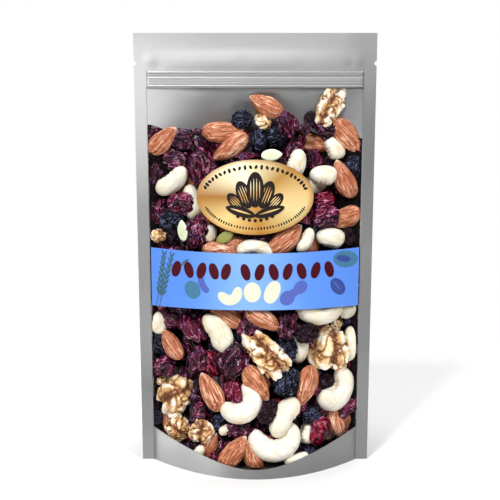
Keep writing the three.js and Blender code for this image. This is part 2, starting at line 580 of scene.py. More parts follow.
def goldFinish():
    f = Finish("gold foil")
    x, y, z = f.split(f.place())
    across = x / (oval["halfWidth"] * mm)
    up = (z - oval["middle"] * mm) / (oval["halfHeight"] * mm)
    turn = up.maths("ARCTAN2", up, across) / (2 * math.pi) + 0.5
    amber, pale = tint(150, 98, 26), tint(246, 226, 160)
    # Painted reflection: pale and amber bands of the foil, turning round the oval's middle
    shade = f.ramp(turn, [
        (0.0, amber), (0.14, tint(224, 196, 126)), (0.265, tint(194, 138, 58)), (0.42, pale),
        (0.52, tint(242, 206, 140)), (0.64, tint(190, 142, 66)), (0.8, tint(255, 250, 210)), (1.0, amber),
    ])
    away = (across * across + up * up) ** 0.5
    shade = f.mix(1 - f.fade(away, 0.0, 0.45), shade, tint(196, 148, 76))
    shade = f.mix(f.fade(away, 0.88, 1.0) * 0.6, shade, tint(164, 104, 30))
    brushed = f.grain(f.stretched(f.place(), (0.2, 1.0, 1.0)), 2600.0, 2.0)
    return f.done(f.principled({
        "Base Color": f.mix(0.12 * brushed, shade, tint(150, 100, 40)), "Metallic": 0.3,
        "Roughness": 0.32, "Normal": f.bump(brushed, 0.00001),
    }))


def blueFinish():
    f = Finish("blue print")
    x = f.split(f.place())[0]
    # Painted light: the band is brighter in its middle than towards its ends
    middle = 1 - f.fade(f.size(x + 0.003), 0.0, 0.037)
    speck = f.grain(f.place(), 1400.0, 2.0)
    shade = f.mix(middle, tint(88, 138, 226), tint(122, 166, 228))
    return f.done(f.principled({
        "Base Color": shade, "Roughness": 0.4 + 0.08 * speck, "Specular IOR Level": 0.3,
        "Normal": f.bump(speck, 0.00001),
    }))


def inkFinish(name, shade, darker):
    f = Finish(name)
    patch = f.grain(f.place(), 320.0, 2.0)
    return f.done(f.principled({
        "Base Color": f.mix(patch, shade, darker), "Roughness": 0.5 + 0.1 * patch, "Specular IOR Level": 0.15,
    }))


def ovalLabel():
    def place(a, b):
        x = oval["halfWidth"] * a * math.sqrt(1 - b * b / 2)
        z = oval["middle"] + oval["halfHeight"] * b * math.sqrt(1 - a * a / 2)
        return Vector((x, -float(filmDepth(x, z)) - label["lift"] - label["thickness"], z))

    bm = sheet(oval["columns"], oval["rows"], place, Vector((0, -1, 0)), label["thickness"])
    piece = finishPiece(bm, "gold_oval", [materials["gold"]], sharpAngle=creaseAngle)
    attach(piece, "root")
    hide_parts("oval_label")


def bandLabel():
    def place(a, b):
        bow = 1 - a * a
        low = band["bottom"] + band["bottomBow"] * bow
        high = band["top"] + band["topBow"] * bow
        z = low + (high - low) * (b + 1) / 2
        x = a * (chamber(z) - band["sideGap"])
        return Vector((x, -float(filmDepth(x, z)) - label["lift"] - label["thickness"], z))

    bm = sheet(band["columns"], band["rows"], place, Vector((0, -1, 0)), label["thickness"])
    piece = finishPiece(bm, "blue_band", [materials["blue"]], sharpAngle=creaseAngle)
    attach(piece, "root")
    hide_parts("band_label")


# Outlines: each bends a unit circle's corner, at the given angle, into its own shape.
def seedShape(length, width, blunt=0.0):
    def bend(angle):
        side = math.sin(angle)
        swell = abs(side) ** (1.6 - blunt)
        return math.cos(angle) * length / 2, math.copysign(swell, side) * width / 2
    return bend


def roundShape(length, width):
    return lambda angle: (math.cos(angle) * length / 2, math.sin(angle) * width / 2)


# A bent, round-ended shape, open upwards like a cashew.
def bentShape(radius, sweep, width):
    def bend(angle):
        along, side = math.cos(angle), math.sin(angle)
        end = math.sqrt(max(0.0, 1 - along ** 6))
        turn = math.radians(sweep) / 2 * along
        reach = radius - math.copysign(min(1.0, abs(side) * 4) * end, side) * width / 2
        return reach * math.sin(turn), radius - reach * math.cos(turn)
    return bend


# Prints a flat shape on the front film: turned, placed, and cut so that it can follow the film.
def printShape(bm, shape, x, z, turn, ink, layer=1, steps=24):
    angle = math.radians(turn)
    made = bmesh.ops.create_circle(bm, cap_ends=True, radius=1, segments=steps)
    corners = made["verts"]
    for corner in corners:
        along, up = shape(math.atan2(corner.co.y, corner.co.x))
        corner.co = (x + along * math.cos(angle) - up * math.sin(angle), 0,
                     z + along * math.sin(angle) + up * math.cos(angle))
    face = corners[0].link_faces[0]
    face.normal_update()
    if face.normal.y > 0:
        face.normal_flip()
    face.material_index = ink
    part = [face] + list(face.edges) + list(face.verts)
    for axis in (0, 2):
        spacing = label["stripWidth"]
        start = min(item.co[axis] for item in part if isinstance(item, bmesh.types.BMVert))
        end = max(item.co[axis] for item in part if isinstance(item, bmesh.types.BMVert))
        cut = math.ceil(start / spacing) * spacing
        plane = (1, 0, 0) if axis == 0 else (0, 0, 1)
        while cut < end:
            spot = (cut, 0, 0) if axis == 0 else (0, 0, cut)
            part = bmesh.ops.bisect_plane(bm, geom=part, dist=1e-4, plane_co=spot, plane_no=plane)["geom"]
            cut += spacing
    lift = label["lift"] + label["thickness"] + layer * label["ink"]
    for corner in part:
        if isinstance(corner, bmesh.types.BMVert):
            corner.co.y = -float(filmDepth(corner.co.x, corner.co.z)) - lift


inks = ["black", "gold", "cream", "maroon", "sage", "teal", "violet", "navy"]


def finishPrint(bm, name):
    thicken(bm, 0.8 * label["ink"])
    piece = finishPiece(bm, name, [materials[ink] for ink in inks], smooth=False)
    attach(piece, "root")


garland = {
    "grains": 25,
    "grainsFrom": 162,     # degrees round the oval, from its right end
    "grainsOver": -146,
    "grainRing": (28.4, 16.1),
    "grainLeans": (62, 90, 118),
    "seeds": 43,
    "seedsFrom": 200,
    "seedsOver": 140,
    "seedRing": (28.4, 16.7),
    "dotEvery": 7,
}
emblem = {
    "below": 5.0,          # its foot, under the oval's middle
    # the standing almonds' lean, length, width, place across, rise, layer
    "fan": [(44, 12.0, 6.4, -10.6, -1.6, 1), (-44, 12.0, 6.4, 10.6, -1.6, 1), (22, 15.5, 7.8, -6.0, 0.6, 3),
            (-22, 15.5, 7.8, 6.0, 0.6, 3), (0, 19.0, 9.4, 0.0, 1.6, 5)],
    "grooves": (-1.5, -0.5, 0.5, 1.5),
    "leaf": (17, 5.4),
    "leafVein": (12, 1.0),
    "leafLean": 16,
    "berries": 7,
    "berryWidth": 1.9,
    "berryGap": 3.1,
}


def ovalPrint():
    bm = bmesh.new()
    black, gold = inks.index("black"), inks.index("gold")

    # The place at an angle on an oval ring, and the way the ring runs there
    def onRing(angle, ring):
        ringX, ringZ = ring
        x = ringX * math.cos(angle)
        z = oval["middle"] + ringZ * math.sin(angle)
        lean = math.degrees(math.atan2(ringZ * math.cos(angle), -ringX * math.sin(angle)))
        return x, z, lean

    # A garland of grains along the top and a row of small seeds and dots along the bottom
    count = garland["grains"]
    for i in range(count):
        angle = math.radians(garland["grainsFrom"] + garland["grainsOver"] * i / (count - 1))
        x, z, lean = onRing(angle, garland["grainRing"])
        size = 2.7 if i % 3 == 1 else 2.2
        printShape(bm, seedShape(size, 1.5, 0.8), x, z, lean + garland["grainLeans"][i % 3], black, steps=14)
    count = garland["seeds"]
    for i in range(count):
        angle = math.radians(garland["seedsFrom"] + garland["seedsOver"] * i / (count - 1))
        x, z, lean = onRing(angle, garland["seedRing"])
        shape = roundShape(0.9, 0.9) if i % garland["dotEvery"] == 0 else seedShape(1.8, 0.85, 0.7)
        printShape(bm, shape, x, z, lean + 90, black, steps=12)

    # The emblem: standing almonds over two leaves, with a row of berries under them
    foot = oval["middle"] - emblem["below"]
    for lean, long, wide, shift, rise, layer in emblem["fan"]:
        z = foot + long / 2 + rise - 2
        printShape(bm, seedShape(long, wide, 0.6), shift, z, 90 + lean, black, layer)
        for side in emblem["grooves"]:
            off = side * wide * 0.17
            printShape(bm, seedShape(long * (0.74 - 0.16 * abs(side)), 0.62),
                       shift + off * math.cos(math.radians(lean)),
                       z + off * math.sin(math.radians(lean)), 90 + lean, gold, layer + 1, 12)
    for side in (-1, 1):
        lean = side * emblem["leafLean"]
        printShape(bm, seedShape(*emblem["leaf"], 0.3), side * 7.8, foot - 2.6, lean, black, 8)
        printShape(bm, seedShape(*emblem["leafVein"]), side * 7.8, foot - 2.5, lean, gold, 9)
    berry = roundShape(emblem["berryWidth"], emblem["berryWidth"])
    for i in range(emblem["berries"]):
        step = i - (emblem["berries"] - 1) / 2
        printShape(bm, berry, step * emblem["berryGap"], foot - 7.4 + 0.24 * step ** 2, 0, black, 1, 14)
    finishPrint(bm, "gold_oval_print")


bandArt = {
    # the ears' tops and feet, and where their stalks end
    "wheat": [(-50.2, 120.2, -53.0, 99.5, -55.0), (-45.8, 119.6, -51.4, 98.5, -53.0)],
    "stalkFoot": 91.4,
    "earGrains": 8,
    "twigGrains": 4,
    # a row of almonds in two groups
    "row": [-43.2, -36.2, -29.2, -22.4, -15.8, -5.2, 2.4, 10.0, 17.6, 25.2, 33.0, 40.6],
    "rowHeight": 112.6,
    "rowLean": 16,
}


def bandPrint():
    bm = bmesh.new()
    maroon, cream, teal = inks.index("maroon"), inks.index("cream"), inks.index("teal")
    violet, navy, sage = inks.index("violet"), inks.index("navy"), inks.index("sage")

    # Two ears of wheat and a twig at the left end
    stalkFoot = bandArt["stalkFoot"]
    for topX, topZ, footX, footZ, stalkX in bandArt["wheat"]:
        lean = math.degrees(math.atan2(topZ - footZ, topX - footX))
        for i in range(bandArt["earGrains"]):
            share = i / (bandArt["earGrains"] - 1)
            x, z = footX + (topX - footX) * share, footZ + (topZ - footZ) * share
            for side in (-1, 1):
                printShape(bm, seedShape(4.4, 1.5 - 0.5 * share, 0.4), x + side * (0.9 - 0.5 * share), z,
                           lean + side * -24, sage, 1 + i % 2, 12)
        printShape(bm, seedShape(11, 0.5, 0.8), (footX + stalkX) / 2, (footZ + stalkFoot) / 2,
                   math.degrees(math.atan2(footZ - stalkFoot, footX - stalkX)), sage, 1, 12)
    for i in range(bandArt["twigGrains"]):
        x, z = -42.6 + 1.7 * i, 113.4 + 1.4 * i
        printShape(bm, seedShape(3.2, 1.1, 0.4), x, z, 62 - 40 * (i % 2), sage, 1, 12)
    # A split seed, a peanut, a bean and a large seed
    printShape(bm, roundShape(10.0, 8.8), -34.2, 101.8, 112, teal)
    printShape(bm, bentShape(9.0, 62, 3.6), -28.6, 104.8, 298, violet, 2)
    printShape(bm, roundShape(8.6, 7.6), 17.4, 98.4, 35, violet)
    printShape(bm, roundShape(8.2, 6.8), 24.6, 103.8, 40, violet)
    printShape(bm, roundShape(5.2, 4.8), 21.0, 101.1, 37, violet)
    printShape(bm, roundShape(10.8, 7.2), 45.6, 102.6, -52, navy)
    printShape(bm, seedShape(7.4, 1.0), 45.0, 103.2, -52, violet, 2)
    printShape(bm, roundShape(14.4, 9.4), 50.0, 117.4, -8, teal)
    printShape(bm, roundShape(8.4, 3.6), 48.8, 117.8, -12, navy, 2)
    # The row of almonds, leaning by turns
    for i, x in enumerate(bandArt["row"]):
        lean = bandArt["rowLean"] if i % 2 else -bandArt["rowLean"]
        printShape(bm, seedShape(9.0, 5.0, 0.7), x, bandArt["rowHeight"], 90 + lean, maroon, 3)
    # Three larger shapes: a cashew, a hazelnut and an almond
    printShape(bm, bentShape(4.4, 216, 5.6), -12.6, 97.6, 18, cream, 3, 36)
    printShape(bm, roundShape(9.4, 10.8), -1.6, 101.8, 0, cream, 3)
    printShape(bm, seedShape(12.6, 8.2, 0.75), 9.2, 101.8, 66, cream, 3)
    finishPrint(bm, "blue_band_print")


# Every nut, seed and fruit keeps where its skin was before it was placed (rest), how high its relief
# stands (relief) and a number of its own (lot), which its finish reads.
def addLayers(bm):
    bm.verts.layers.float_vector.new("rest")
    bm.verts.layers.float.new("relief")
    bm.verts.layers.float.new("lot")


# One form of a kind: a ball whose corners are moved by shape(p), which gives a place and a relief.
def makeForm(detail, shape):
    bm = bmesh.new()
    addLayers(bm)
    if isinstance(detail, int):
        bmesh.ops.create_icosphere(bm, subdivisions=detail, radius=1)
    else:
        bmesh.ops.create_uvsphere(bm, u_segments=detail[0], v_segments=detail[1], radius=1)
        bmesh.ops.rotate(bm, verts=bm.verts, matrix=Matrix.Rotation(math.pi / 2, 3, "Y"))
    rest = bm.verts.layers.float_vector["rest"]
    relief = bm.verts.layers.float["relief"]
    for corner in bm.verts:
        spot, height = shape(corner.co.copy())
        corner.co = spot
        corner[rest] = spot
        corner[relief] = height
    low = Vector([min(corner.co[axis] for corner in bm.verts) for axis in range(3)])
    high = Vector([max(corner.co[axis] for corner in bm.verts) for axis in range(3)])
    bmesh.ops.translate(bm, verts=bm.verts, vec=-(low + high) / 2)
    bmesh.ops.recalc_face_normals(bm, faces=bm.faces)
    mesh = bpy.data.meshes.new("form")
    bm.to_mesh(mesh)
    bm.free()
    return mesh


def wobble(p, seed, scale):
    return noise.noise(Vector((p.x * scale + seed * 7.3, p.y * scale - seed * 3.1, p.z * scale + seed * 1.7)))


# The way from a nut's long axis to a corner of it.
def ringAt(p):
    ring = Vector((0, p.y, p.z))
    return ring.normalized() if ring.length > 1e-5 else Vector((0, 0, 1))


# A place pushed about a little, so that folds and crests wander.
def wandered(p, seeds, scale, twist):
    return Vector([p[axis] + twist * wobble(p, seed, scale) for axis, seed in enumerate(seeds)])


# Rounded folds with sharp valleys between them, 0 in the valleys and 1 on the folds.
def folds(p, seed, scale, twist=0.5):
    q = wandered(p, (seed + 11, seed + 23, seed + 37), scale * 0.8, twist)
    return min(1.0, abs(wobble(q, seed, scale)) * 3.2) ** 0.6


# Sharp crests with hollows between them, 1 on the crests.
def crests(p, seed, scale, twist=0.4):
    q = wandered(p, (seed + 13, seed + 29, seed + 41), scale * 0.7, twist)
    return max(0.0, 1 - abs(wobble(q, seed, scale)) * 2.6) ** 1.5


almonds = {
    "length": 23.6,
    "width": 12.8,
    "thickness": 8.4,
    "grooves": 0.32,
    "forms": 5,
    # x, z, turn of the tip, size, order from the front, form
    "laid": [
        (5.6, 201.0, 150, 0.88, 0, 0), (-17.5, 187.0, 5, 0.97, 0, 1), (-13.3, 178.5, 217, 0.98, 1, 2),
        (-50.5, 182.0, 41, 0.88, 1, 3), (50.5, 184.5, -50, 1.0, 1, 0), (34.0, 180.4, -8, 0.92, 2, 1),
        (-36.7, 156.0, 70, 0.9, 3, 2), (49.0, 161.0, 115, 0.98, 1, 4), (50.5, 139.5, 200, 0.98, 1, 1),
        (-12.5, 126.5, 10, 0.8, 3, 0), (-18.5, 122.5, -10, 0.9, 2, 2), (17.0, 129.0, 40, 0.98, 1, 3),
        (32.5, 125.0, 60, 0.7, 3, 4), (-14.5, 86.5, -32, 0.95, 2, 0), (4.6, 86.5, -32, 0.95, 1, 2),
        (-46.8, 68.4, 130, 0.86, 1, 4), (28.6, 47.4, 256, 1.03, 0, 0), (-24.2, 45.3, 118, 1.0, 0, 3),
        (0.5, 50.5, -57, 0.98, 2, 1), (45.5, 24.0, 105, 0.92, 2, 2), (52.5, 24.0, 80, 0.8, 3, 3),
        (-26.0, 12.5, 60, 0.85, 2, 4), (-11.5, 12.8, 52, 0.95, 1, 1), (-1.5, 10.0, 110, 0.8, 3, 0),
    ],
}

cashews = {
    # length along the bend, bend in degrees, width, how much one end is thinner
    "forms": [(36.0, 225, 12.4, 0.06), (32.0, 250, 12.0, 0.12), (24.0, 75, 11.6, 0.08),
              (17.0, 40, 12.0, 0.15), (31.0, 120, 11.6, 0.1), (37.0, 262, 10.2, 0.16),
              (26.0, 95, 13.4, 0.12)],
    "laid": [
        (-46.5, 172.3, 20, 0.6, 3, 3), (-45.5, 159.3, 38, 0.9, 1, 2), (-34.0, 148.0, 100, 0.85, 1, 2),
        (43.6, 178.0, 120, 0.8, 1, 3), (22.7, 170.5, 75, 0.85, 0, 3), (37.5, 163.2, 175, 0.88, 1, 3),
        (33.5, 157.8, 20, 0.85, 1, 3), (-24.5, 131.5, 80, 0.6, 2, 3), (0.5, 124.6, 172, 0.72, 0, 4),
        (27.8, 128.0, 60, 0.62, 0, 2), (41.5, 128.6, 170, 0.95, 1, 3), (-54.0, 79.5, 85, 0.75, 1, 3),
        (-36.2, 75.3, 95, 0.5, 3, 3), (-20.0, 78.3, 121, 0.92, 0, 6), (36.0, 87.5, 0, 1.02, 0, 4),
        (53.0, 87.0, 20, 0.7, 2, 3), (24.2, 70.0, 95, 0.95, 2, 2), (54.5, 67.0, 80, 0.85, 1, 2),
        (46.2, 41.0, 45, 1.1, 0, 1), (-6.4, 38.2, 45, 1.0, 0, 1), (15.6, 32.0, 236, 1.02, 1, 2),
        (11.2, 16.6, 8, 1.04, 0, 0), (29.0, 19.5, 70, 0.75, 2, 3), (42.5, 15.2, 10, 0.6, 2, 3),
        (-31.2, 10.5, 60, 0.5, 1, 3), (23.0, 7.6, 10, 0.6, 2, 2), (-16.5, 24.0, 30, 0.45, 3, 3),
    ],
}

walnuts = {
    # length, width, thickness, how close its lobes lie, seed
    "forms": [(33.0, 18.0, 13.0, 1.2, 3.0), (29.0, 23.0, 14.0, 1.2, 8.0), (22.0, 18.5, 11.0, 1.1, 5.0),
              (14.5, 12.5, 9.5, 0.9, 2.0), (27.0, 25.0, 14.0, 1.2, 6.0)],
    "laid": [
        (40.6, 199.8, 62, 0.78, 0, 0), (4.2, 193.2, 100, 0.82, 1, 3), (-53.5, 129.2, 20, 0.7, 2, 3),
        (6.2, 65.8, -52, 1.0, 0, 0), (42.0, 65.6, 80, 1.02, 0, 1), (46.3, 78.6, 40, 0.68, 0, 3),
        (-53.5, 46.0, 70, 0.5, 1, 3), (-53.5, 38.5, 10, 0.62, 1, 3), (-45.5, 37.5, 30, 0.96, 0, 4),
        (-29.6, 22.2, 80, 0.78, 0, 2), (-43.4, 20.6, -30, 0.86, 0, 2),
    ],
}

cranberries = {
    "forms": 7,
    "halfLength": 8.0,
    "halfThickness": 4.6,
    "halfWidth": 6.2,
    "laid": [
        (-40.0, 183.0, 20, 0.95, 1, 0), (-31.8, 180.8, 100, 1.0, 1, 1), (-43.5, 171.0, -25, 1.15, 1, 2),
        (-29.0, 168.5, 95, 1.28, 0, 3), (-40.5, 147.0, 10, 0.95, 0, 4), (-5.5, 175.2, 10, 1.0, 2, 5),
        (17.8, 191.4, 110, 0.92, 1, 3), (27.1, 188.5, 60, 0.55, 1, 0), (40.2, 188.4, 5, 0.95, 0, 1),
        (22.2, 178.3, 70, 0.82, 1, 2), (33.5, 171.2, 90, 0.75, 3, 3), (38.9, 139.6, 10, 0.98, 0, 4),
        (37.5, 149.0, 20, 0.8, 2, 5), (-54.5, 143.0, 80, 0.8, 1, 2), (-31.9, 132.6, 95, 1.05, 0, 2),
        (4.3, 130.5, 0, 0.8, 3, 1), (-46.2, 81.6, -20, 1.05, 1, 3), (-33.0, 80.2, -60, 1.18, 0, 5),
        (-2.4, 81.8, 60, 1.0, 0, 4), (14.9, 85.7, 40, 0.8, 2, 0), (18.0, 82.6, 75, 0.9, 1, 2),
        (-51.0, 54.5, 30, 0.9, 1, 4), (-38.4, 50.6, 80, 0.72, 0, 1), (-31.2, 61.8, 70, 0.95, 2, 3),
        (-12.6, 63.2, 62, 1.38, 0, 0), (-11.8, 45.3, 95, 0.92, 0, 5), (36.2, 20.9, 80, 0.98, 0, 6),
        (-7.6, 24.4, 5, 0.9, 1, 2), (52.2, 29.5, 20, 0.9, 1, 4), (-46.0, 62.0, 10, 0.9, 3, 5),
        (-24.0, 60.0, 120, 0.85, 3, 6), (-41.0, 89.0, 15, 0.9, 3, 1), (-23.0, 90.0, 0, 0.8, 3, 2),
        (-56.0, 164.0, 85, 0.8, 3, 1), (56.2, 152.0, 95, 0.75, 3, 3), (56.0, 56.0, 80, 0.75, 3, 5),
        (-55.6, 58.5, 95, 0.7, 3, 0), (56.4, 96.0, 90, 0.7, 3, 2),
    ],
}

raisins = {
    "forms": 6,
    "halfLength": 6.8,
    "halfThickness": 4.6,
    "halfWidth": 5.4,
    "laid": [
        (-7.5, 193.6, 20, 0.98, 0, 0), (-53.5, 176.0, 60, 1.0, 2, 1), (1.3, 182.3, 80, 1.05, 1, 2),
        (11.5, 184.0, 10, 1.05, 1, 1), (30.5, 193.3, 100, 0.72, 2, 4), (42.4, 171.0, 60, 0.9, 3, 5),
        (54.0, 168.0, 90, 0.95, 2, 0), (-46.3, 138.0, 30, 1.18, 1, 1), (-53.8, 154.0, 80, 0.95, 2, 2),
        (-44.8, 129.3, 70, 1.0, 2, 3), (51.5, 128.0, 100, 0.95, 2, 4), (28.2, 77.4, 10, 1.12, 0, 5),
        (53.8, 79.0, 80, 0.95, 1, 0), (-53.2, 67.5, 90, 1.05, 2, 1), (17.4, 69.0, -58, 1.12, 0, 2),
        (17.5, 51.0, 62, 1.3, 0, 1), (40.6, 46.6, 30, 0.95, 2, 4), (7.0, 35.4, 70, 1.1, 1, 5),
        (31.6, 30.2, 20, 0.95, 2, 0), (23.0, 60.5, 30, 0.9, 3, 1), (-20.0, 70.0, 0, 0.9, 3, 2),
        (-56.6, 170.0, 80, 0.75, 3, 4), (-56.2, 136.0, 95, 0.7, 3, 5), (56.6, 162.0, 85, 0.7, 3, 3),
        (56.2, 46.0, 90, 0.75, 3, 2), (56.4, 36.0, 85, 0.7, 3, 0), (-56.0, 24.0, 85, 0.7, 3, 1),
    ],
}

pumpkinSeeds = {
    "forms": 2,
    "length": 15.0,
    "width": 8.4,
    "thickness": 2.4,
    "laid": [
        (9.0, 174.8, 5, 0.78, 0, 0), (-39.8, 133.4, 95, 0.78, 1, 0), (-16.2, 130.8, 30, 0.7, 1, 1),
    ],
}


def almondForm(index, detail):
    seed = 3.7 * index + 1
    long, wide, thick = almonds["length"] / 2, almonds["width"] / 2, almonds["thickness"] / 2
    slim = 1 - 0.05 * (index % 3)

    def shape(p):
        along = p.x
        ring = ringAt(p)
        girth = 0.97 * max(0.0, 1 + along) ** 0.5 * max(0.0, 1 - along) ** 0.74
        groove = wobble(Vector((along * 0.6, ring.y * 2.6, ring.z * 2.6)), seed, 2.4)
        groove += 0.6 * wobble(Vector((along * 1.1, ring.y * 5.2, ring.z * 5.2)), seed + 5, 2.4)
        lump = 0.8 * wobble(p, seed + 9, 1.1)
        proud = almonds["grooves"] * (groove + lump) * min(1.0, girth * 1.6)
        bend = 0.5 * (along ** 2) * (1 if index % 2 else -1)
        spot = Vector((long * along, ring.y * (thick * girth + proud),
                       ring.z * (wide * slim * girth + proud) + bend))
        return spot, 0.5 + groove
    return makeForm(detail, shape)


def cashewForm(index, detail):
    length, bend, width, thin = cashews["forms"][index]
    seed = 2.9 * index + 2
    sweep = math.radians(bend)
    radius = length / sweep

    def shape(p):
        along = p.x
        ring = ringAt(p)
        end = max(0.0, 1 - abs(along) ** 3.4) ** 0.5
        half = width / 2 * end * (1 - thin * along)
        inner = max(0.0, ring.z) ** 3  # towards the hollow of the bend
        lump = 0.4 * wobble(p, seed, 1.6) + 0.12 * wobble(p, seed + 4, 4.0)
        cleft = -1.1 * math.exp(-(ring.y / 0.2) ** 2) * inner * end
        wrinkle = 0.3 * inner * math.sin(along * 16 + 3 * wobble(p, seed + 8, 2.0)) * end
        half = half + (lump + cleft + wrinkle) * min(1.0, end * 1.5)
        angle = along * sweep / 2
        reach = radius - min(ring.z * half, radius * 0.94)
        spot = Vector((reach * math.sin(angle), ring.y * half * 0.95, radius - reach * math.cos(angle)))
        return spot, 0.6 + lump + 0.6 * cleft + wrinkle
    return makeForm(detail, shape)


# Rounded lobes with narrow valleys between them: 0 in the valleys, 1 in the middle of a lobe.
def lobes(p, seed, scale, twist):
    q = Vector((p.x * scale + seed * 7.3 + twist * wobble(p, seed + 11, scale * 0.9),
                p.y * scale - seed * 3.1 + twist * wobble(p, seed + 23, scale * 0.9),
                p.z * scale + seed * 1.7 + twist * wobble(p, seed + 37, scale * 0.9)))
    near, second = noise.voronoi(q)[0][:2]
    return min(1.0, (second - near) * 1.5)


def walnutForm(index, detail):
    length, width, thickness, scale, seed = walnuts["forms"][index]

    def shape(p):
        q = Vector((p.x * length / width, p.y, p.z))
        big = lobes(q, seed, scale, 0.7) ** 0.5
        small = lobes(q, seed + 17, scale * 2.2, 0.6) ** 0.6
        body = 1 + 0.34 * wobble(p, seed + 31, 0.9)
        seam = math.exp(-(p.z / 0.2) ** 2) * max(0.0, min(1.0, 0.7 - p.y)) if length > 18 else 0.0
        swell = body * (0.74 + 0.27 * big + 0.07 * small) * (1 - 0.28 * seam)
        spot = Vector((p.x * length / 2 * swell, p.y * thickness / 2 * swell, p.z * width / 2 * swell))
        return spot, (0.75 * big + 0.25 * small) * (1 - 0.6 * seam)
    return makeForm(detail, shape)


def cranberryForm(index, detail):
    seed = 5.3 * index + 4
    long, thick, wide = (cranberries[key] for key in ("halfLength", "halfThickness", "halfWidth"))

    def shape(p):
        q = Vector((p.x * 0.5, p.y, p.z))
        fold = folds(q, seed, 1.25, 0.8)
        crest = crests(q, seed + 7, 2.1, 0.7)
        body = 1 + 0.4 * wobble(p, seed + 19, 1.0)
        height = 0.55 * fold + 0.45 * crest
        swell = body * (0.74 + 0.24 * fold + 0.13 * crest)
        taper = 1 - 0.24 * p.x * (1 if index % 2 else -0.5)
        return Vector((p.x * long * swell, p.y * thick * swell * taper, p.z * wide * swell * taper)), height
    return makeForm(detail, shape)


def raisinForm(index, detail):
    seed = 4.1 * index + 7
    long, thick, wide = (raisins[key] for key in ("halfLength", "halfThickness", "halfWidth"))

    def shape(p):
        q = Vector((p.x * 0.6, p.y, p.z))
        crest = crests(q, seed, 2.6, 0.6)
        small = crests(q, seed + 3, 5.6, 0.5)
        body = 1 + 0.16 * wobble(p, seed + 19, 1.1)
        height = 0.6 * crest + 0.4 * small
        swell = body * (0.82 + 0.17 * crest + 0.09 * small)
        return Vector((p.x * long * swell, p.y * thick * swell, p.z * wide * swell)), height
    return makeForm(detail, shape)


# Both forms have one shape: the finish makes the first pale and the second green.
def pumpkinSeedForm(index, detail):
    long, wide, thick = pumpkinSeeds["length"] / 2, pumpkinSeeds["width"] / 2, pumpkinSeeds["thickness"] / 2

    def shape(p):
        tip = 1 - 0.42 * max(0.0, p.x) ** 2
        away = math.hypot(p.x, p.z)
        rim = math.exp(-((away - 0.84) / 0.1) ** 2)
        half = thick * (0.75 + 0.35 * rim)
        return Vector((p.x * long, p.y * half, p.z * wide * tip)), 0.4 + 0.6 * rim
    return makeForm(detail, shape)


# How the contents are laid against the film, from the front backwards
heap = {
    "seed": 12,
    "chartReach": 62.0,    # half the width of the chart that they are laid on
    "cell": 1.0,           # and the size of its cells
    "filmGap": 0.55,
    # what share of a piece stays clear of those in front: of a laid piece, and of each kind behind
    "laidGive": 0.86,
    "give": {"cranberries": 0.86, "raisins": 0.86, "almonds": 0.98, "cashews": 0.98, "walnuts": 0.98},
    "lean": 0.85,          # how fully a piece follows the film's slope
    "roll": 14,            # degrees either way
    "pitch": 8,
    "flip": 40,            # the same for the fill behind
    "low": 8.0,
    "top": 184.0,
    "nutTop": 166.0,
    "fill": 330,
    "fillTries": 14,
    "fillSizes": (0.85, 1.05),
    "shares": {"cranberries": 0.46, "raisins": 0.36, "almonds": 0.1, "cashews": 0.04, "walnuts": 0.04},
    "deepest": 19.0,
}
kinds = {}         # name -> the kind's forms, fine, near and far, and the far ones' points
laidPieces = []    # kind, form mesh, matrix, lot


# A chart of the front film seen from the front: how far back each of its cells is taken.
class FilmSide:
    def __init__(self):
        self.left, self.low, self.cell = -heap["chartReach"], 0.0, heap["cell"]
        xs = np.arange(self.left, -self.left, self.cell) + self.cell / 2
        zs = np.arange(self.low, pouch["zipTop"], self.cell) + self.cell / 2
        gridX, gridZ = np.meshgrid(xs, zs, indexing="ij")
        self.film = heap["filmGap"] - filmDepth(gridX, gridZ)
        self.taken = self.film.copy()

    def cells(self, points):
        i = np.clip(((points[:, 0] - self.left) / self.cell).astype(int), 0, self.film.shape[0] - 1)
        j = np.clip(((points[:, 2] - self.low) / self.cell).astype(int), 0, self.film.shape[1] - 1)
        return i, j

    # Pieces touch the film strictly, and one another with a little give.
    def seat(self, points, give):
        i, j = self.cells(points)
        strict = np.max(self.film[i, j] - points[:, 1])
        front = np.argsort(points[:, 1])
        cell = (i * self.film.shape[1] + j)[front]
        first = front[np.unique(cell, return_index=True)[1]]
        gaps = self.taken[i[first], j[first]] - points[first, 1]
        return float(max(strict, np.quantile(gaps, give)))

    def keep(self, points):
        i, j = self.cells(points)
        np.maximum.at(self.taken, (i, j), points[:, 1])


def meshPoints(mesh):
    points = np.empty(len(mesh.vertices) * 3)
    mesh.vertices.foreach_get("co", points)
    return points.reshape(-1, 3)


# A piece's turn and size: its flat side to the film at x, z, its long side turned in the film's plane.
def turned(x, z, turn, roll, pitch, size):
    lean = Vector((0, -1, 0)).rotation_difference(filmNormal(x, z))
    lean = Quaternion().slerp(lean, heap["lean"])
    matrix = lean.to_matrix() @ Matrix.Rotation(-math.radians(turn), 3, "Y")
    matrix = matrix @ Matrix.Rotation(math.radians(roll), 3, "X")
    return matrix @ Matrix.Rotation(math.radians(pitch), 3, "Z") * size


# Where a piece comes to lie at x, z: its points, its matrix and how far back it is.
def layPiece(side, kind, form, x, z, turn, size, chance, flip=0.0, give=heap["laidGive"]):
    roll = chance.uniform(-heap["roll"], heap["roll"]) + flip
    pitch = chance.uniform(-heap["pitch"], heap["pitch"])
    matrix = turned(x, z, turn, roll, pitch, size)
    points = kinds[kind]["points"][form] @ np.array(matrix).T
    space = 2 * (float(filmDepth(x, z)) - heap["filmGap"])
    squash = min(1.0, 0.9 * space / np.ptp(points[:, 1]))  # thinner where the films are close together
    points[:, 1] *= squash
    matrix = Matrix.Diagonal((1, squash, 1)) @ matrix
    points = points + np.array((x, 0, z))
    y = side.seat(points, give)
    points[:, 1] += y
    whole = Matrix.Translation((x, y, z)) @ matrix.to_4x4()
    return points, whole, y


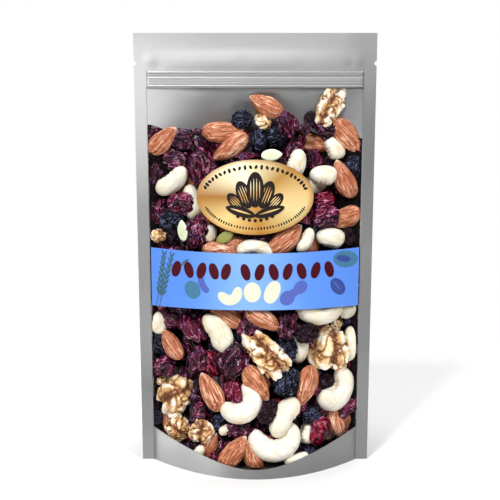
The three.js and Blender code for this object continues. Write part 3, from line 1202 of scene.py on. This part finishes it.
def layContents():
    chance = random.Random(heap["seed"])
    side = FilmSide()
    everything = [("almonds", almonds), ("cashews", cashews), ("walnuts", walnuts),
                  ("cranberries", cranberries), ("raisins", raisins), ("pumpkin_seeds", pumpkinSeeds)]
    queue = []
    for kind, values in everything:
        for number, (x, z, turn, size, order, form) in enumerate(values["laid"]):
            queue.append((order, number, kind, x, z, turn, size, form))
    first = ["walnuts", "almonds", "cashews", "pumpkin_seeds", "cranberries", "raisins"]
    queue.sort(key=lambda item: (item[0], first.index(item[2]), item[1]))
    for order, number, kind, x, z, turn, size, form in queue:
        points, whole, y = layPiece(side, kind, form, x, z, turn, size, chance)
        side.keep(points)
        fineness = "fine" if order == 0 else "near"
        lot = (form + chance.random()) / len(kinds[kind]["far"])
        laidPieces.append((kind, kinds[kind][fineness][form], whole, lot))
    # Behind those, what shows in the gaps
    for number in range(heap["fill"]):
        kind = chance.choices(list(heap["shares"]), list(heap["shares"].values()))[0]
        form = chance.randrange(len(kinds[kind]["far"]))
        best = None
        for attempt in range(heap["fillTries"]):
            z = chance.uniform(heap["low"], heap["top" if kind in ("cranberries", "raisins") else "nutTop"])
            x = chance.uniform(-1, 1)
            if number % 4 == 0:
                x = math.copysign(abs(x) ** 0.2, x)  # every fourth goes near a side seal
            x *= chamber(z) - 3
            turn, size = chance.uniform(0, 360), chance.uniform(*heap["fillSizes"])
            flip = chance.uniform(-heap["flip"], heap["flip"])
            points, whole, y = layPiece(side, kind, form, x, z, turn, size, chance, flip, heap["give"][kind])
            behind = y + float(filmDepth(x, z))
            if best is None or behind < best[0]:
                best = (behind, points, whole)
        behind, points, whole = best
        if behind < heap["deepest"]:
            side.keep(points)
            laidPieces.append((kind, kinds[kind]["far"][form], whole, chance.random()))


# Keeps a finished piece's corners inside the films.
insideFilm = {"sideGap": 0.3, "filmGap": 0.45, "low": 4.2, "topGap": 0.4}


def pressInside(mesh):
    points = meshPoints(mesh) / mm
    reach = chamber(points[:, 2]) - insideFilm["sideGap"]
    points[:, 0] = np.clip(points[:, 0], -reach, reach)
    points[:, 2] = np.clip(points[:, 2], insideFilm["low"], pouch["zipBottom"] - insideFilm["topGap"])
    space = np.maximum(filmDepth(points[:, 0], points[:, 2]) - insideFilm["filmGap"], 0.05)
    points[:, 1] = np.clip(points[:, 1], -space, space)
    mesh.vertices.foreach_set("co", (points * mm).ravel())
    mesh.update()


# Joins all the laid pieces of one kind into a single piece.
def joinKind(kind, material):
    bm = bmesh.new()
    addLayers(bm)
    for name, form, matrix, lot in laidPieces:
        if name != kind:
            continue
        start = len(bm.verts)
        bm.from_mesh(form)
        bm.verts.ensure_lookup_table()
        added = bm.verts[start:]
        bmesh.ops.transform(bm, matrix=matrix, verts=added)
        lotLayer = bm.verts.layers.float["lot"]
        for corner in added:
            corner[lotLayer] = lot
    piece = finishPiece(bm, kind, [material])
    pressInside(piece.data)
    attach(piece, "root")
    print(kind, sum(len(face.vertices) - 2 for face in piece.data.polygons), "triangles")


# Each finish of the contents reads the skin's own place, so that its pattern turns with the piece.
def almondFinish():
    f = Finish("almond skin")
    rest, lot, relief = f.skin()
    ridge = f.ridges(f.stretched(rest, (0.12, 1.0, 1.0)), 0.95, 1.0, lot * 40, 0.5, 4.0)
    streak = f.grain(f.stretched(rest, (0.1, 1.0, 1.0)), 1.6, 3.0, 0.6, lot * 40)
    broad = f.grain(rest, 0.2, 2.0, 0.5, lot * 40 + 7)
    # Lighter on the skin's crests, darker in its grooves: partly the skin's own streaks, partly painted
    # highlight and shade
    tone = (0.5 * ridge + 0.35 * streak + 0.3 * relief - 0.08).clamped()
    shade = f.ramp(tone, [
        (0.1, tint(76, 28, 12)), (0.42, tint(150, 82, 50)), (0.66, tint(188, 115, 80)),
        (0.9, tint(244, 208, 180)),
    ])
    shade = f.mix(f.fade(lot, 0.5, 1.0) * 0.35, shade, tint(158, 80, 46))
    shade = f.mix(f.fade(broad, 0.55, 0.8) * 0.25, shade, tint(214, 158, 126))
    tip = f.fade(f.split(rest)[0], 9.4, 11.8)
    shade = f.mix(tip * 0.7, shade, tint(246, 224, 200))
    return f.done(f.principled({
        "Base Color": shade, "Roughness": 0.4 + 0.16 * streak, "Specular IOR Level": 0.25,
        "Normal": f.bump(ridge + 0.4 * streak, 0.00035, 0.9),
    }))


def cashewFinish():
    f = Finish("cashew")
    rest, lot, relief = f.skin()
    broad = f.grain(rest, 0.12, 3.0, 0.5, lot * 40)
    fine = f.grain(f.stretched(rest, (0.5, 1.0, 1.0)), 1.2, 4.0, 0.6, lot * 40 + 3)
    seam = f.ridges(f.stretched(rest, (0.35, 1.0, 1.0)), 0.16, 1.0, lot * 40 + 21, 0.6, 26.0)
    speck = f.grain(rest, 1.3, 1.0, 0.5, lot * 40 + 9)
    shade = f.ramp((broad + lot * 0.25 - 0.12).clamped(), [
        (0.25, tint(234, 232, 224)), (0.52, tint(230, 224, 206)), (0.8, tint(222, 204, 164)),
    ])
    shade = f.mix(f.fade(fine, 0.5, 0.72) * 0.22, shade, tint(206, 192, 156))
    # Painted shade in the cleft and other low places of the kernel
    shade = f.mix((1 - f.fade(relief, 0.05, 0.5)) * 0.6, shade, tint(190, 148, 100))
    shade = f.mix(seam * 0.3, shade, tint(190, 156, 112))
    shade = f.mix(f.fade(speck, 0.71, 0.77) * 0.6, shade, tint(176, 136, 96))
    return f.done(f.principled({
        "Base Color": shade, "Roughness": 0.42 + 0.12 * fine, "Specular IOR Level": 0.2,
        "Normal": f.bump(fine - 0.6 * seam, 0.0003, 0.8),
    }))


def walnutFinish():
    f = Finish("walnut")
    rest, lot, relief = f.skin()
    patch = f.grain(rest, 0.16, 3.0, 0.6, lot * 40)
    fine = f.grain(rest, 1.2, 4.0, 0.6, lot * 40 + 5)
    vein = f.ridges(rest, 0.3, 2.0, lot * 40 + 2, 0.8, 9.0)
    # Darker in the valleys between the lobes, paler on them: partly the kernel's own colour, partly painted
    # shade
    tone = (relief + (fine - 0.5) * 0.5 - vein * 0.16).clamped()
    shade = f.ramp(tone, [
        (0.12, tint(98, 54, 28)), (0.3, tint(184, 132, 82)), (0.5, tint(232, 194, 138)),
        (0.74, tint(252, 232, 194)),
    ])
    # Near-white patches on the high lobes: partly bare kernel, partly painted highlights
    white = f.fade(patch + relief * 0.4, 0.69, 0.82)
    shade = f.mix(white * 0.85, shade, tint(254, 248, 236))
    return f.done(f.principled({
        "Base Color": shade, "Roughness": 0.38 + 0.18 * fine, "Specular IOR Level": 0.3,
        "Normal": f.bump(fine - 0.5 * vein, 0.0006, 0.9),
    }))


def cranberryFinish():
    f = Finish("cranberry")
    rest, lot, relief = f.skin()
    ridge = f.ridges(f.stretched(rest, (0.45, 1.0, 1.0)), 0.2, 1.0, lot * 40 + 4, 1.2, 5.5)
    broad = f.grain(rest, 0.2, 2.0, 0.5, lot * 40)
    fine = f.grain(rest, 1.7, 3.0, 0.6, lot * 40 + 4)
    # Near black in the valleys and pink on the crests: partly the fruit's own colour, partly painted shade
    # and highlight
    tone = (relief * 0.45 + ridge * 0.45 + (fine - 0.5) * 0.16 - 0.08).clamped()
    shade = f.ramp(tone, [
        (0.12, tint(6, 0, 3)), (0.36, tint(40, 1, 16)), (0.62, tint(88, 5, 40)), (0.92, tint(168, 44, 96)),
    ])
    shade = f.mix(f.fade(lot, 0.75, 0.95) * 0.6 * ridge, shade, tint(172, 6, 36))
    # A painted purple sheen on the crests over broad patches
    shade = f.mix(f.fade(broad, 0.5, 0.7) * 0.55, shade, f.mix(ridge, tint(20, 2, 24), tint(84, 40, 100)))
    shade = f.mix((1 - f.fade(lot, 0.08, 0.4)) * 0.5, shade, tint(8, 2, 8))
    # Painted glints: small pale highlights on the crests
    glint = f.fade(fine * 0.4 + ridge * 0.6, 0.76, 0.82)
    shade = f.mix(glint * 0.6, shade, tint(222, 184, 224))
    return f.done(f.principled({
        "Base Color": shade, "Roughness": 0.14 + 0.14 * fine, "Specular IOR Level": 0.2,
        "Normal": f.bump(ridge + 0.08 * fine, 0.0012, 0.9),
    }))


def raisinFinish():
    f = Finish("raisin")
    rest, lot, relief = f.skin()
    ridge = f.ridges(f.stretched(rest, (0.45, 1.0, 1.0)), 0.4, 1.0, lot * 40 + 4, 1.4, 8.0)
    fine = f.grain(rest, 1.6, 3.0, 0.6, lot * 40 + 4)
    # Near black in the valleys and pale on the crests: partly the skin's own bloom, partly painted shade and
    # highlight
    tone = (relief * 0.25 + ridge * 0.7 + (fine - 0.5) * 0.3 - 0.08).clamped()
    blue = f.ramp(tone, [(0.18, tint(2, 2, 4)), (0.5, tint(26, 27, 47)), (0.95, tint(148, 154, 198))])
    brown = f.ramp(tone, [(0.18, tint(4, 1, 3)), (0.5, tint(28, 9, 20)), (0.95, tint(134, 92, 116))])
    shade = f.mix(f.fade(lot, 0.4, 0.6), blue, brown)
    return f.done(f.principled({
        "Base Color": shade, "Roughness": 0.2 + 0.16 * fine, "Specular IOR Level": 0.13,
        "Normal": f.bump(ridge + 0.3 * fine, 0.0011, 0.95),
    }))


def pumpkinSeedFinish():
    f = Finish("pumpkin seed")
    rest, lot, relief = f.skin()
    fine = f.grain(f.stretched(rest, (0.4, 1.0, 1.0)), 1.2, 3.0, 0.5, lot * 40)
    pale = f.mix(fine, tint(240, 246, 222), tint(206, 216, 176))
    shade = f.mix(f.fade(lot, 0.48, 0.52), pale, tint(128, 128, 52))
    shade = f.mix((1 - f.fade(relief, 0.35, 0.6)) * 0.25, shade, tint(170, 176, 120))
    return f.done(f.principled({
        "Base Color": shade, "Roughness": 0.4 + 0.1 * fine, "Normal": f.bump(fine, 0.0001, 0.8),
    }))


# Near-black painted shade for the heap's core
def coreShadeFinish():
    f = Finish("heap core shade")
    patch = f.grain(f.place(), 130.0, 3.0)
    shade = f.mix(f.fade(patch, 0.45, 0.6), tint(3, 2, 2), tint(14, 4, 7))
    return f.done(f.principled({
        "Base Color": shade, "Roughness": 0.9, "Specular IOR Level": 0.1, "Normal": f.bump(patch, 0.002, 0.9),
    }))


# A near-black mass well behind the film, standing in for the rest of the heap: painted shade for the gaps
# between the pieces
core = {
    "cuts": 30,
    "reach": 58,          # about half its width, where the window's edge is read
    "behindFilm": 19.0,
    "sideGap": 0.6,
    "backGap": 0.55,
    "below": 3.5,         # under the window's edge
    "top": 187.0,
    "droop": 12.0,        # how much lower its top is at the sides
    "ripple": 2.5,
    "least": 0.4,         # its least thickness
}


def heapCore():
    bm = bmesh.new()
    bmesh.ops.create_cube(bm, size=2)
    bmesh.ops.subdivide_edges(bm, edges=bm.edges, cuts=core["cuts"], use_grid_fill=True)
    for corner in bm.verts:
        a, b, c = corner.co
        low = windowEdge(a * core["reach"]) - core["below"]
        high = core["top"] - core["droop"] * a ** 4 + core["ripple"] * noise.noise(Vector((a * 9, 3, 0)))
        z = low + (high - low) * (c + 1) / 2
        x = a * (chamber(z) - core["sideGap"])
        space = float(filmDepth(x, z))
        back = space - core["backGap"]
        front = core["behindFilm"] - space + core["ripple"] * noise.noise(Vector((x, 0, z)) * 0.1)
        front = min(front, back - core["least"] - 0.02 * space)
        corner.co = (x, front + (back - front) * (b + 1) / 2, z)
    bmesh.ops.recalc_face_normals(bm, faces=bm.faces)
    piece = finishPiece(bm, "heap_core_shade", [materials["core"]])
    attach(piece, "root")


# The camera, the floor and the light; the room's own sizes are in metres.
room = {
    "cameraPlace": (-0.0028, -0.595, 0.216),
    "cameraPitch": 9.04,
    "lens": 77.87,
    "sensor": 36,
    "floorReach": 4.0,
    "floorShadow": (0.04, 0.64),    # how far out the painted shadow round the pouch goes, and its tone
    "floorFar": (0.11, 0.91),
    "floorEnd": (0.18, 0.42),     # where the floor fades into the backdrop
}
lamps = {
    # place, what it is aimed at, size, watts
    "key": ((-0.45, -0.92, 1.15), (0, 0, 0.1), 0.26, 17.5),
    "fill": ((0.7, -0.85, 0.85), (0, 0, 0.1), 0.35, 8.0),
    "top": ((0.0, -0.1, 1.4), (0, 0, 0), 1.2, 12.5),
}
studio = {"around": 0.13, "panel": 1.85, "behind": 0.42}


def makeCamera():
    data = bpy.data.cameras.new("camera")
    data.lens = room["lens"]
    data.sensor_width = room["sensor"]
    data.clip_start = 0.01
    camera = bpy.data.objects.new("camera", data)
    camera.location = room["cameraPlace"]
    camera.rotation_euler = (math.radians(90 - room["cameraPitch"]), 0, 0)
    bpy.context.scene.collection.objects.link(camera)
    bpy.context.scene.camera = camera


def makeFloor():
    bm = bmesh.new()
    bmesh.ops.create_grid(bm, x_segments=8, y_segments=8, size=room["floorReach"] / mm)
    f = Finish("floor")
    speck = f.grain(f.place(), 3.0, 2.0)
    x, y = f.split(f.place())[:2]
    away = (x * x + y * y) ** 0.5
    shadowEnd, shadowTone = room["floorShadow"]
    farStart, farTone = room["floorFar"]
    # The paper is darker near the pouch: a painted shadow
    paper = f.principled({
        "Base Color": f.mix(f.fade(away + 0.004 * speck, shadowEnd, farStart), grey(shadowTone), grey(farTone)),
        "Roughness": 0.8, "Specular IOR Level": 0.1,
    })
    beyond = f.make("BsdfTransparent")
    shader = f.make("MixShader", None, {0: f.fade(away, *room["floorEnd"]), 1: paper, 2: beyond})
    floor = finishPiece(bm, "floor", [f.done(shader)])


def areaLight(name, place, aim, size, power):
    data = bpy.data.lights.new(name, "AREA")
    data.size = size
    data.energy = power
    lamp = bpy.data.objects.new(name, data)
    lamp.location = place
    lamp.rotation_mode = "QUATERNION"
    lamp.rotation_quaternion = (Vector(aim) - Vector(place)).to_track_quat("-Z", "Y")
    bpy.context.scene.collection.objects.link(lamp)


# White where the camera looks, and round about a dim studio. The bright panel up on the left only
# shows in what is shiny.
def makeStudio():
    f = Finish("studio", isWorld=True)
    x, y, z = f.split(f.make("TexCoord"))
    ahead = f.fade(-1 * y, 0.0, 0.3)
    left = 1 - f.fade(x, -0.2, 0.06)
    above = f.fade(z, -0.14, 0.06)
    mirrored = f.make("LightPath", output="Is Glossy Ray")
    panel = studio["panel"] * ahead * left * above * mirrored
    around = studio["around"] + panel + studio["behind"] * f.fade(y, 0.0, 0.5)
    dim = f.make("Background", None, {"Color": grey(1.0), "Strength": around})
    white = f.make("Background", None, {"Color": grey(1.0), "Strength": 1.0})
    seen = f.make("LightPath", output="Is Camera Ray")
    both = f.make("MixShader", None, {0: seen, 1: dim, 2: white})
    bpy.context.scene.world = f.done(both, "OutputWorld")


def makeLight():
    for name, (place, aim, size, power) in lamps.items():
        areaLight(name, place, aim, size, power)
    makeStudio()
    bpy.context.scene.view_settings.view_transform = "Standard"


# Making it all
makeCamera()
makeFloor()
makeLight()
print("room made")

materials = {
    "silver": silverFinish(),
    "clear": clearFinish(),
    "gold": goldFinish(),
    "blue": blueFinish(),
    "black": inkFinish("black ink", tint(20, 14, 16), tint(30, 20, 20)),
    "cream": inkFinish("cream ink", tint(218, 218, 198), tint(208, 208, 186)),
    "maroon": inkFinish("maroon ink", tint(70, 2, 18), tint(60, 2, 14)),
    "sage": inkFinish("sage ink", tint(66, 104, 116), tint(58, 92, 106)),
    "teal": inkFinish("teal ink", tint(70, 120, 150), tint(66, 112, 146)),
    "violet": inkFinish("violet ink", tint(84, 100, 178), tint(78, 92, 170)),
    "navy": inkFinish("navy ink", tint(60, 78, 148), tint(52, 70, 138)),
    "core": coreShadeFinish(),
}
silverPouch()
clearWindow()
baseGusset()
zipTracks()
print("films made")

ovalLabel()
ovalPrint()
bandLabel()
bandPrint()
print("labels made")


# Each form is made fine for the foremost pieces, nearly so for those beside them and coarse behind.
def makeKind(name, count, former, fine, near, far):
    made = {}
    for key, detail in (("fine", fine), ("near", near), ("far", far)):
        made[key] = [former(i, detail) for i in range(count)]
    made["points"] = [meshPoints(mesh) for mesh in made["far"]]
    kinds[name] = made


makeKind("almonds", almonds["forms"], almondForm, (64, 32), (48, 24), (24, 14))
makeKind("cashews", len(cashews["forms"]), cashewForm, (44, 48), (32, 36), (20, 20))
makeKind("walnuts", len(walnuts["forms"]), walnutForm, 6, 5, 4)
makeKind("cranberries", cranberries["forms"], cranberryForm, 5, 4, 3)
makeKind("raisins", raisins["forms"], raisinForm, 5, 4, 3)
makeKind("pumpkin_seeds", pumpkinSeeds["forms"], pumpkinSeedForm, (28, 20), (28, 20), (16, 12))
print("forms made")

layContents()
print(len(laidPieces), "pieces laid")

joinKind("almonds", almondFinish())
joinKind("cashews", cashewFinish())
joinKind("walnuts", walnutFinish())
joinKind("cranberries", cranberryFinish())
joinKind("raisins", raisinFinish())
joinKind("pumpkin_seeds", pumpkinSeedFinish())
heapCore()
print("contents made")
